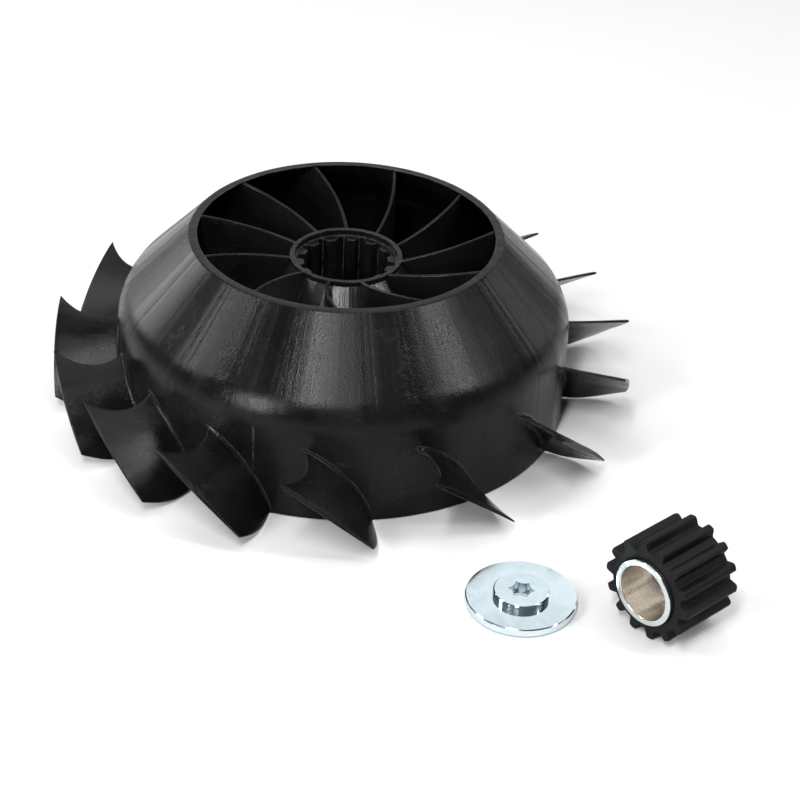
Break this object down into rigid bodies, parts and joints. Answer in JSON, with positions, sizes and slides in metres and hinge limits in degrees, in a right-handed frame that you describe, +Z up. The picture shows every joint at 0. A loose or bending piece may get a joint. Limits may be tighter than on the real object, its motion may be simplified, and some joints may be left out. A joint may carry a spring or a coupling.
{
  "type": "engine cooling fan wheel",
  "caption": "Moulded cooling-fan wheel of a small engine, with outer blades, inner vanes and a splined hub, laid out with its rubber coupling bush and clamp washer.",
  "frame": {"origin": "on the wheel's axis at the plane the wheel stands on, which is the mouth of the hub's tail bore", "axes": "+Z up along the wheel's axis towards the intake rim; the bush and the washer lie at +X and -Y of the wheel"},
  "size_m": [0.3177, 0.3383, 0.09],
  "materials": {
    "wheel_plastic": "satin moulded, near black",
    "zinc_plate": "bright zinc plate, bluish",
    "bright_steel": "bright turned steel",
    "black_rubber": "matt moulded rubber"
  },
  "bodies": {
    "fan_wheel": {"shroud": "wheel_plastic", "hub": "wheel_plastic", "inner_cone": "wheel_plastic", "inner_vane_01": "wheel_plastic", "inner_vane_02": "wheel_plastic", "inner_vane_03": "wheel_plastic", "inner_vane_04": "wheel_plastic", "inner_vane_05": "wheel_plastic", "inner_vane_06": "wheel_plastic", "inner_vane_07": "wheel_plastic", "inner_vane_08": "wheel_plastic", "inner_vane_09": "wheel_plastic", "inner_vane_10": "wheel_plastic", "inner_vane_11": "wheel_plastic", "outer_blade_01": "wheel_plastic", "outer_blade_02": "wheel_plastic", "outer_blade_03": "wheel_plastic", "outer_blade_04": "wheel_plastic", "outer_blade_05": "wheel_plastic", "outer_blade_06": "wheel_plastic", "outer_blade_07": "wheel_plastic", "outer_blade_08": "wheel_plastic", "outer_blade_09": "wheel_plastic", "outer_blade_10": "wheel_plastic", "outer_blade_11": "wheel_plastic", "outer_blade_12": "wheel_plastic", "outer_blade_13": "wheel_plastic", "outer_blade_14": "wheel_plastic", "outer_blade_15": "wheel_plastic"},
    "washer": {"clamp_washer": "zinc_plate"},
    "sleeve": {"bush_sleeve": "bright_steel"},
    "rubber": {"bush_rubber": "black_rubber"}
  },
  "joints": [
    {"name": "washer_lift", "type": "slide", "parent": "fan_wheel", "child": "washer", "axis": [0, 0, 1], "range_m": [0, 0.1]},
    {"name": "bush_lift", "type": "slide", "parent": "fan_wheel", "child": "sleeve", "axis": [0, 0, 1], "range_m": [0, 0.1]},
    {"name": "rubber_windup", "type": "hinge", "parent": "sleeve", "child": "rubber", "pos_m": [0.1486, -0.1692, 0.02297], "axis": [0.7278, 0.6858, 0], "range_deg": [-4, 4], "stiffness_Nm_per_rad": 20}
  ]
}
